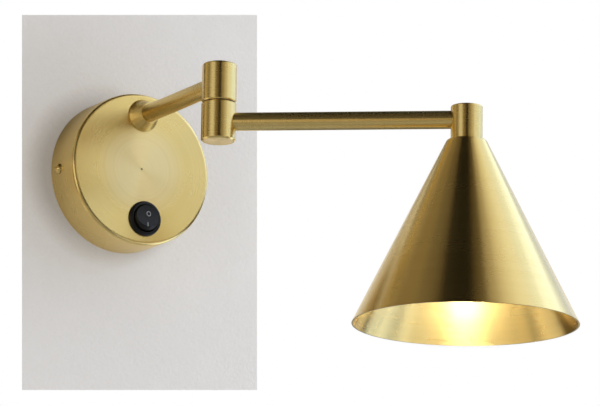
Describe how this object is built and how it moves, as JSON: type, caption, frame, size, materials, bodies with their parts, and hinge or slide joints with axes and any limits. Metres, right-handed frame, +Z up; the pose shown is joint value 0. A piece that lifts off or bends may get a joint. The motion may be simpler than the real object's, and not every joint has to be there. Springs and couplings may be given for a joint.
{
  "type": "swing-arm wall lamp",
  "caption": "Brass wall lamp: round canopy with a rocker switch, an arm, a swivelling elbow and a second arm that carries a cone shade with a bulb.",
  "frame": {"origin": "centre of the canopy's back, on the wall's plane", "axes": "+Y into the wall, so the lamp reaches out along -Y; +Z up; +X to the right of someone who faces the wall"},
  "size_m": [0.2466, 0.2913, 0.1685],
  "materials": {
    "satin_brass": "brushed and lacquered, satin",
    "zinc_steel": "zinc plated",
    "contact_brass": "plain brass",
    "nickel": "nickel plated",
    "block_plastic": "moulded polyamide",
    "black_plastic": "semi gloss",
    "holder_plastic": "moulded thermoplastic",
    "black_nylon": "nylon",
    "boot_plastic": "soft vinyl",
    "brown_insulation": "smooth vinyl",
    "blue_insulation": "smooth vinyl",
    "earth_insulation": "green and yellow vinyl",
    "flex_sheath": "smooth vinyl",
    "ceramic_insert": "glazed ceramic",
    "opal_glass": "opal, lit",
    "clear_glass": "clear",
    "black_glass": "vitrified"
  },
  "bodies": {
    "wall_unit": {"wall_bracket": "zinc_steel", "earth_screw": "zinc_steel", "earth_tags": "contact_brass", "terminal_block": "block_plastic", "terminal_clamps": "contact_brass", "terminal_screws": "zinc_steel", "block_screws": "zinc_steel", "canopy": "satin_brass", "cover_screws": "satin_brass", "switch_housing": "black_plastic", "switch_terminals": "contact_brass", "terminal_boots": "boot_plastic", "arm_collar": "satin_brass", "arm_nipple": "zinc_steel", "lock_washer": "zinc_steel", "arm_nut": "zinc_steel", "first_arm": "satin_brass", "upper_knuckle": "satin_brass", "upper_knuckle_cap": "satin_brass", "pivot_bolt": "zinc_steel", "seam_washer": "black_nylon", "stop_pin": "zinc_steel", "spring_washer": "zinc_steel", "pivot_washer": "zinc_steel", "pivot_nut": "zinc_steel", "live_lead": "brown_insulation", "neutral_core": "blue_insulation", "switched_core": "brown_insulation", "earth_lead": "earth_insulation", "first_arm_flex": "flex_sheath"},
    "rocker": {"switch_rocker": "black_plastic"},
    "swing_arm": {"lower_knuckle": "satin_brass", "lower_knuckle_cap": "satin_brass", "second_arm": "satin_brass", "head_barrel": "satin_brass", "head_nipple": "zinc_steel", "shade": "satin_brass", "shade_washer": "zinc_steel", "shade_nut": "zinc_steel", "lampholder_cap": "holder_plastic", "lampholder_body": "holder_plastic", "lampholder_insert": "ceramic_insert", "insert_screws": "zinc_steel", "thread_shell": "contact_brass", "centre_contact": "contact_brass", "bulb_glass": "opal_glass", "bulb_cap": "nickel", "bulb_insulator": "black_glass", "bulb_contact": "nickel", "bulb_stem": "clear_glass", "bulb_filament": "zinc_steel", "second_arm_flex": "flex_sheath"}
  },
  "joints": [
    {"name": "elbow_swivel", "type": "hinge", "parent": "wall_unit", "child": "swing_arm", "pos_m": [0, -0.128, 0.0232], "axis": [0, 0, 1], "range_deg": [-143, 37]},
    {"name": "switch_rock", "type": "hinge", "parent": "wall_unit", "child": "rocker", "pos_m": [0.003, -0.0306, -0.0325], "axis": [-1, 0, 0], "range_deg": [0, 24]}
  ]
}
